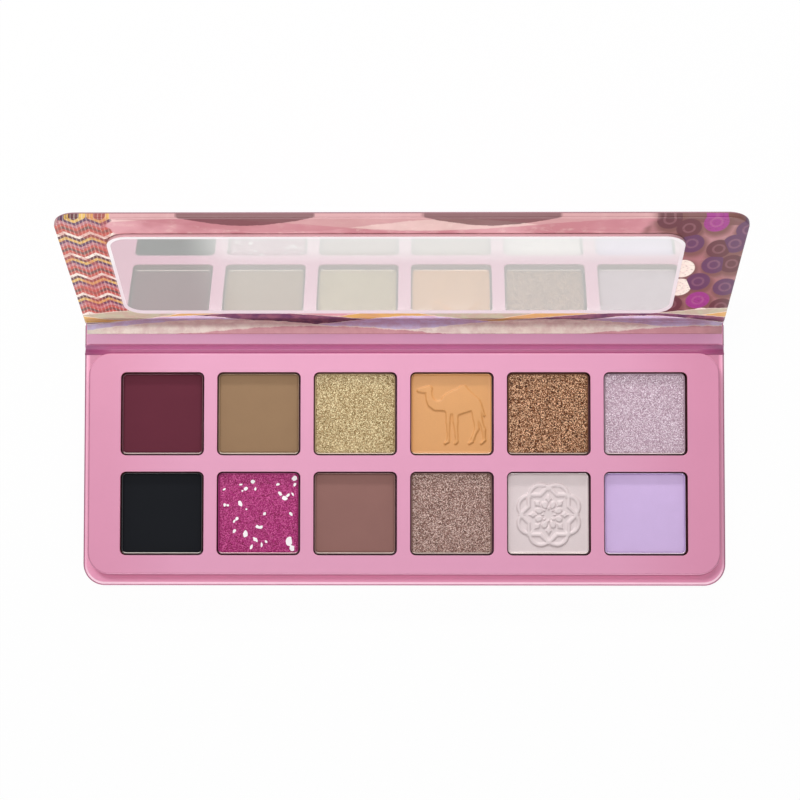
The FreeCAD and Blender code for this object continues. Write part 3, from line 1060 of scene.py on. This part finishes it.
class PALETTE_OT_camel_powder(bpy.types.Operator):
    """Presses the ochre powder with a raised camel"""

    bl_idname = "palette.camel_powder"
    bl_label = "Camel powder"

    # Limbs of the figure as runs of (x, y, radius) in mm from the middle of the cake
    LIMBS = (
        ((-0.6, 2.2, 1.9), (1.2, 2.4, 2.7), (3.1, 2.6, 2.35), (5.6, 2.5, 1.55)),
        ((-0.5, 3.1, 2.0), (1.0, 3.7, 2.2), (2.9, 6.15, 0.9), (5.8, 2.8, 1.25)),
        ((-1.4, 2.2, 1.5), (-2.7, 2.0, 1.2), (-3.9, 1.95, 1.1), (-4.9, 2.6, 1.0), (-5.45, 3.6, 0.8)),
        ((-5.45, 3.6, 0.8), (-5.65, 4.6, 0.68), (-5.7, 5.7, 0.75)),
        ((-5.65, 6.25, 0.82), (-7.0, 5.85, 0.64), (-8.2, 5.75, 0.42)),
        ((-0.75, 0.8, 0.75), (-0.85, -2.0, 0.44), (-0.8, -6.3, 0.24), (-0.9, -6.9, 0.3), (-1.6, -7.4, 0.3)),
        ((0.95, 0.8, 0.75), (1.0, -2.0, 0.56), (1.25, -5.4, 0.3), (1.3, -6.9, 0.3), (1.0, -7.4, 0.32)),
        ((5.9, 1.8, 1.2), (6.0, -1.0, 0.64), (6.3, -3.7, 0.5), (5.35, -6.0, 0.36)),
        ((5.35, -6.0, 0.36), (5.1, -6.9, 0.3), (4.4, -7.4, 0.3)),
        ((6.5, 1.6, 0.9), (7.2, -1.7, 0.42), (8.0, -4.0, 0.38), (8.2, -6.6, 0.26), (7.4, -7.4, 0.3)),
        ((7.1, 2.4, 0.3), (7.6, 0.9, 0.24), (8.1, -0.4, 0.28)),
    )

    def execute(self, context):
        powders = context.scene.palette_powders
        strokes = [(a, b) for limb in self.LIMBS for a, b in zip(limb, limb[1:])]

        def face(x, y):
            return powders.camel * (0.6 - smooth_step(self.nearest(strokes, x / MM, y / MM), -0.26, 0.2))

        material = matte_powder("Powder ochre", powders.ochre, bloom=0.06, matt=0.3, shine=0.5)
        cake("powder_rear_4", material, cells=180, relief=face)
        return {"FINISHED"}

    @staticmethod
    def nearest(strokes, x, y):
        """Distance to the figure's outline, below zero inside; limbs melt into each other."""
        melt = 6
        reach = 1.5
        total = 0.0
        for (ax, ay, ar), (bx, by, br) in strokes:
            run_x = bx - ax
            run_y = by - ay
            share = ((x - ax) * run_x + (y - ay) * run_y) / (run_x * run_x + run_y * run_y)
            share = min(max(share, 0), 1)
            gap = math.hypot(x - ax - share * run_x, y - ay - share * run_y) - ar - share * (br - ar)
            if gap < reach:
                total += math.exp(-melt * gap)
        return -math.log(total) / melt if total else reach


class PALETTE_OT_rosette_powder(bpy.types.Operator):
    """Presses the ivory powder with a raised eight-fold rosette"""

    bl_idname = "palette.rosette_powder"
    bl_label = "Rosette powder"

    def execute(self, context):
        powders = context.scene.palette_powders

        def face(x, y):
            return powders.relief * (self.raised(x / MM - 0.1, y / MM + 0.4) - 0.4)

        material = matte_powder("Powder ivory", powders.ivory, bloom=0.05, matt=0.28, shine=0.6)
        cake("powder_front_5", material, cells=180, relief=face)
        return {"FINISHED"}

    @staticmethod
    def raised(x, y):
        """Share of the relief's height at a point, in mm from the middle of the cake."""
        radius = math.hypot(x, y)
        turn = math.atan2(y, x)
        eighth = math.pi / 4
        fold = (turn + eighth / 2) % eighth - eighth / 2
        along, across = radius * math.cos(fold), radius * math.sin(fold)
        offset = turn % eighth - eighth / 2
        mid_along, mid_across = radius * math.cos(offset), radius * math.sin(offset)

        def ridge(gap, half_width):
            return 1 - smooth_step(abs(gap), half_width * 0.25, half_width)

        def diamond(dx, dy, long, wide):
            return 1 - smooth_step(abs(dx) / long + abs(dy) / wide, 0.45, 1.05)

        def petal(dx, dy, long, wide):
            taper = wide * (1 + 0.25 * min(max(dx / long, -1), 1))
            return 1 - smooth_step(math.hypot(dx / long, dy / taper), 0.6, 1.02)

        line = 0.66
        star_size = 4.95
        lobe_place = 5.2
        lobe_radius = 2.68
        lobe_start = 4.9
        star = min(max(abs(x), abs(y)), (abs(x) + abs(y)) / math.sqrt(2)) - star_size
        lobe = math.hypot(mid_along - lobe_place, mid_across) - lobe_radius
        parts = (
            ridge(star, line),
            ridge(lobe, line) if mid_along > lobe_start else 0,
            diamond(along - 3.95, across, 1.35, 0.95),
            petal(mid_along - 2.6, mid_across, 1.12, 0.86),
            diamond(along - 1.55, across, 0.62, 0.36),
        )
        return max(parts)


class PALETTE_OT_creases(bpy.types.Operator):
    """Lays the papers over the creases: the gutter beside the base and the outer wrap behind the lid's
    crease
    """

    bl_idname = "palette.creases"
    bl_label = "Creases"

    def execute(self, context):
        papers = context.scene.palette_papers
        wrap_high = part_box("base_wrap")[1]
        spine_low, spine_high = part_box("spine_wrap")
        gutter = paper("Gutter paper", papers.crease, gloss=papers.gloss)
        wires = Wiring(gutter.node_tree)
        # Painted shade: the gutter paper is dark beside the base and lighter where it rises to the spine
        rise = wires.step(wires.strip_place(), 0.5, 0.62)
        tone = wires.mix(rise, linear(papers.crease), linear(papers.crease_rise))
        wires.feed(paper_colour(gutter), tone)
        width = spine_high.x - spine_low.x
        top = wrap_high.z + papers.sheet
        edge = wrap_high.y
        wall = BASE_CREASE.z + 0.4 * MM
        points = (
            Vector((0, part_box("deck_cover")[1].y - 0.1 * MM, top)),
            Vector((0, edge - 0.3 * MM, top)),
            Vector((0, edge + 0.05 * MM, wall)),
            Vector((0, BASE_CREASE.y, BASE_CREASE.z - 0.1 * MM)),
            Vector((0, spine_low.y - 0.05 * MM, wall)),
            Vector((0, spine_low.y + 0.15 * MM, top - 0.03 * MM)),
        )
        bm = paper_strip(width, run_through(points), cells=30, thickness=papers.sheet)
        piece = finish_piece(bm, "gutter_paper", [gutter])
        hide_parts("base_hinge_strip")
        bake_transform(piece)

        outer = paper("Outer crease paper", papers.wrap, gloss=papers.gloss)
        half_lid = wrap_high.z / 2
        middle = papers.sheet / 2
        path = fold_path(
            middle, middle - half_lid, start=spine_high.y - 0.4 * MM, lid_end=1.5 * MM, ease=1.6 * MM
        )
        bm = paper_strip(width, path, cells=24, thickness=papers.sheet)
        piece = finish_piece(bm, "outer_crease", [outer])
        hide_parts("lid_hinge_strip")
        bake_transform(piece)
        return {"FINISHED"}


class PALETTE_OT_printed_sheet(bpy.types.Operator):
    """Prints the lid's lining and laps its tail over the crease onto the spine"""

    bl_idname = "palette.printed_sheet"
    bl_label = "Printed sheet"

    def execute(self, context):
        papers = context.scene.palette_papers
        inks = context.scene.palette_print

        dress(printed("Printed lining", on_lid(0), on_lid(1)), "lid_lining")
        edged = printed("Lid wrap with printed edge", on_lid(0), on_lid(1))
        wires = Wiring(edged.node_tree)
        sheet = group_in(edged, "Dune print").outputs["Colour"]
        height = on_lid(2)(wires)
        # Painted shade: a dark line on the lid's outer rounded edge
        turned = wires.band(height, (-0.79, -0.7), (-0.2, -0.45))
        cover = wires.mix(wires.step(height, -0.5, -0.4), linear(papers.wrap), sheet)
        wires.feed(paper_colour(edged), wires.mix(turned, cover, linear(inks.edge)))
        dress(edged, "lid_wrap")

        spine_low, spine_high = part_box("spine_wrap")
        half_lid = spine_high.z / 2
        lid_end = 2.1 * MM
        middle = papers.sheet / 2
        path = fold_path(
            spine_high.z + middle, half_lid + middle,
            start=spine_high.y - inks.tail, lid_end=lid_end, ease=1.2 * MM
        )
        length = path.total

        def across(wires):
            return wires.math("DIVIDE", wires.parts(wires.object_place())[0], MM)

        def up(wires):
            return wires.math("MULTIPLY_ADD", wires.strip_place(), length / MM, (lid_end - length) / MM)

        width = spine_high.x - spine_low.x - 1.0 * MM
        bm = paper_strip(width, path, cells=28, thickness=papers.sheet)
        piece = finish_piece(bm, "printed_tail", [printed("Printed tail", across, up)])
        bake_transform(piece)
        return {"FINISHED"}


class PALETTE_OT_mirror(bpy.types.Operator):
    """Cuts the mirror plate with its bevelled glass edge"""

    bl_idname = "palette.mirror"
    bl_label = "Mirror"

    def execute(self, context):
        settings = context.scene.palette_mirror
        flat = LID_PLACE.inverted()
        points = [flat @ vert.co for vert in frame["nodes"]["mirror"].data.vertices]
        low = Vector(min(point[axis] for point in points) for axis in range(3))
        high = Vector(max(point[axis] for point in points) for axis in range(3))
        bm = round_sheet(high.x - low.x, high.y - low.y, settings.corner, segments=14)
        plate = bmesh.ops.extrude_face_region(bm, geom=list(bm.faces))
        front = [item for item in plate["geom"] if isinstance(item, bmesh.types.BMFace)]
        thickness = high.z - low.z - settings.bevel_depth
        bmesh.ops.translate(bm, verts=new_verts(plate), vec=(0, 0, thickness))
        bmesh.ops.recalc_face_normals(bm, faces=bm.faces)
        for face in bm.faces:
            face.material_index = 2
        border = bmesh.ops.inset_region(
            bm, faces=front, thickness=settings.bevel, depth=settings.bevel_depth, use_even_offset=True
        )["faces"]
        for face in border:
            face.material_index = 1
        front[0].material_index = 0
        for vert in front[0].verts:
            if vert.co.y < 0:
                vert.co.y += settings.foot
        middle = (low + high) / 2
        bmesh.ops.translate(bm, verts=bm.verts, vec=(middle.x, middle.y, low.z))
        bmesh.ops.transform(bm, verts=bm.verts, matrix=LID_PLACE)
        values = {"Colour": linear(settings.tint), "Cloud": 0.02, "Matt": 0.0}
        silver = surface("Silvered glass", fine_grain(), values, polish=0.02, Metallic=settings.silver)
        self.lean_back(silver, settings)
        self.paint_sheen(silver, settings)
        values = {"Colour": linear(settings.bevel_tint), "Cloud": 0.02, "Matt": 0.1}
        bevel = surface("Bevelled glass", fine_grain(), values, Coat_Weight=0.6, Coat_Roughness=0.05)
        # The glass edge is painted with the print's colour, in place of what shows through it
        edge = paper("Glass edge", settings.edge, cloud=0.1, matt=0.2)
        finish_piece(bm, "mirror_plate", [silver, bevel, edge], "lid", ["mirror"], smooth=False)
        return {"FINISHED"}

    @staticmethod
    def lean_back(silver, settings):
        """Turns the silver's normal towards the lid's upper edge, most at its foot, to show both rows."""
        wires = Wiring(silver.node_tree)
        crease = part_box("spine_lining")[1].z
        height = wires.minus(wires.parts(wires.object_place())[2], crease)
        near = wires.math("DIVIDE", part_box("mirror")[0].z - crease, height)
        turn = wires.minus(-settings.lean, wires.times(settings.bow, near))
        inputs = {"Vector": wires.face_normal(), "Angle": turn}
        leant = wires.node("ShaderNodeVectorRotate", inputs, rotation_type="X_AXIS").outputs[0]
        choices = {"vector_type": "NORMAL", "convert_from": "OBJECT", "convert_to": "WORLD"}
        turned = wires.node("ShaderNodeVectorTransform", {0: leant}, **choices).outputs[0]
        wires.feed(shader_input(silver, "Normal"), turned)

    @staticmethod
    def paint_sheen(silver, settings):
        """Paints a soft sheen on the silver as a paler, less silvered face: none at its left end, most
        along the top.
        """
        wires = Wiring(silver.node_tree)
        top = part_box("mirror")[1].z
        x, _, z = wires.parts(wires.object_place())
        # Painted sheen: less silvering, so the pale tint shows
        across = wires.step(x, -52 * MM, -38 * MM)
        upper = wires.step(z, top - 14 * MM, top - 5 * MM, settings.sheen, settings.top_sheen)
        silvering = wires.minus(settings.silver, wires.times(across, upper))
        wires.feed(shader_input(silver, "Metallic"), silvering)


class PALETTE_OT_stage(bpy.types.Operator):
    """Sets the floor, the soft lights and the camera"""

    bl_idname = "palette.stage"
    bl_label = "Stage"

    def execute(self, context):
        scene = context.scene
        settings = scene.palette_stage
        scene.view_settings.view_transform = "Standard"
        self.world(scene, settings)
        self.floor(scene)
        self.lamp(scene, "Key light", settings.key, size=(0.1, 0.1), angles=(-35, 69))
        self.lamp(scene, "Rear light", settings.rear, size=(0.5, 0.06), angles=(-10, 63))
        low = self.lamp(scene, "Low light", settings.low, size=(0.5, 0.06), angles=(0, 27))
        low.light_linking.blocker_collection = self.deck_pieces(scene)
        self.lamp(scene, "Front strip", settings.strip, size=(0.7, 0.07), angles=(180, 5), distance=0.9)
        self.camera(scene, settings)
        return {"FINISHED"}

    @staticmethod
    def seen_rays(wires):
        """One where a ray comes from the camera, a reflection or glass."""
        rays = wires.node("ShaderNodeLightPath").outputs
        shiny = wires.math("MAXIMUM", rays["Is Glossy Ray"], rays["Is Transmission Ray"])
        return wires.math("MAXIMUM", rays["Is Camera Ray"], shiny)

    def world(self, scene, settings):
        world = bpy.data.worlds.new("Soft room")
        world.use_nodes = True
        scene.world = world
        wires = Wiring(world.node_tree)
        background = world.node_tree.nodes["Background"]
        background.inputs["Color"].default_value = (1, 1, 1, 1)
        strength = wires.step(self.seen_rays(wires), 0.0, 1.0, settings.ambient, 1.0)
        wires.feed(background.inputs["Strength"], strength)

    def floor(self, scene):
        bm = bmesh.new()
        half_width = 3.0
        below = 0.1 * MM
        bmesh.ops.create_grid(bm, x_segments=1, y_segments=1, size=half_width)
        bmesh.ops.translate(bm, verts=bm.verts, vec=(0, 0, -below))
        mesh = bpy.data.meshes.new("floor")
        bm.to_mesh(mesh)
        bm.free()
        floor = bpy.data.objects.new("floor", mesh)
        scene.collection.objects.link(floor)
        material = bpy.data.materials.new("Pale floor")
        material.use_nodes = True
        wires = Wiring(material.node_tree)
        nodes = material.node_tree.nodes
        shader_input(material, "Base Color").default_value = (0.86, 0.86, 0.86, 1)
        shader_input(material, "Roughness").default_value = 0.9
        glow = wires.node("ShaderNodeEmission", {"Color": (1, 1, 1, 1), "Strength": 1.0})
        share = wires.times(self.seen_rays(wires), 0.95)
        shaders = {0: share, 1: nodes["Principled BSDF"].outputs[0], 2: glow.outputs[0]}
        mixed = wires.node("ShaderNodeMixShader", shaders)
        wires.feed(nodes["Material Output"].inputs["Surface"], mixed.outputs[0])
        mesh.materials.append(material)

    @staticmethod
    def deck_pieces(scene):
        """The deck and what lies in its windows: they alone shade the low light, which passes the lid."""
        pieces = bpy.data.collections.new("Deck pieces")
        for item in scene.objects:
            if item.name.startswith(("deck_", "pan_", "rim_", "cake_")):
                pieces.objects.link(item)
        return pieces

    @staticmethod
    def lamp(scene, name, power, size, angles, distance=0.65):
        """A soft light; angles are degrees from the rear towards the right, and up from the floor."""
        light = bpy.data.lights.new(name, "AREA")
        light.energy = power
        light.shape = "RECTANGLE"
        light.size, light.size_y = size
        lamp = bpy.data.objects.new(name, light)
        around, rise = (math.radians(angle) for angle in angles)
        flat = math.cos(rise)
        way = Vector((math.sin(around) * flat, math.cos(around) * flat, math.sin(rise)))
        lamp.location = way * distance
        lamp.rotation_euler = way.to_track_quat("Z", "Y").to_euler()
        lamp.visible_camera = False
        scene.collection.objects.link(lamp)
        return lamp

    @staticmethod
    def camera(scene, settings):
        lens = bpy.data.cameras.new("Camera")
        lens.lens = settings.lens
        lens.sensor_width = 36.0
        lens.clip_start = 0.01
        camera = bpy.data.objects.new("Camera", lens)
        yaw = settings.yaw
        tilt = settings.tilt
        flat = math.cos(yaw)
        back = Vector((math.sin(yaw), -math.sin(tilt) * flat, math.cos(tilt) * flat))
        right = (Vector((1, 0, 0)) - back * back.x).normalized()
        up = back.cross(right)
        turn = Matrix((right, up, back)).transposed().to_4x4()
        camera.matrix_world = Matrix.Translation(Vector(settings.aim) + back * settings.distance) @ turn
        scene.collection.objects.link(camera)
        scene.camera = camera


OPERATORS = (
    PALETTE_OT_case_papers,
    PALETTE_OT_inner_pieces,
    PALETTE_OT_deck,
    PALETTE_OT_pans,
    PALETTE_OT_matte_powders,
    PALETTE_OT_glitter_powders,
    PALETTE_OT_flakes,
    PALETTE_OT_camel_powder,
    PALETTE_OT_rosette_powder,
    PALETTE_OT_creases,
    PALETTE_OT_printed_sheet,
    PALETTE_OT_mirror,
    PALETTE_OT_stage,
)


class PALETTE_PT_pieces(bpy.types.Panel):
    """Lists the palette's operators and settings"""

    bl_label = "Eyeshadow palette"
    bl_idname = "PALETTE_PT_pieces"
    bl_space_type = "VIEW_3D"
    bl_region_type = "UI"
    bl_category = "Palette"

    def draw(self, context):
        for operator in OPERATORS:
            self.layout.operator(operator.bl_idname)
        for name, group in SETTINGS.items():
            box = self.layout.box()
            for setting in group.__annotations__:
                box.prop(getattr(context.scene, name), setting)


CLASSES = (*SETTINGS.values(), *OPERATORS, PALETTE_PT_pieces)


def register():
    for item in CLASSES:
        bpy.utils.register_class(item)
    for name, group in SETTINGS.items():
        setattr(bpy.types.Scene, name, PointerProperty(type=group))


def unregister():
    for name in SETTINGS:
        delattr(bpy.types.Scene, name)
    for item in reversed(CLASSES):
        bpy.utils.unregister_class(item)


def main():
    register()
    for operator in OPERATORS:
        family, action = operator.bl_idname.split(".")
        getattr(getattr(bpy.ops, family), action)()


if __name__ == "__main__":
    main()
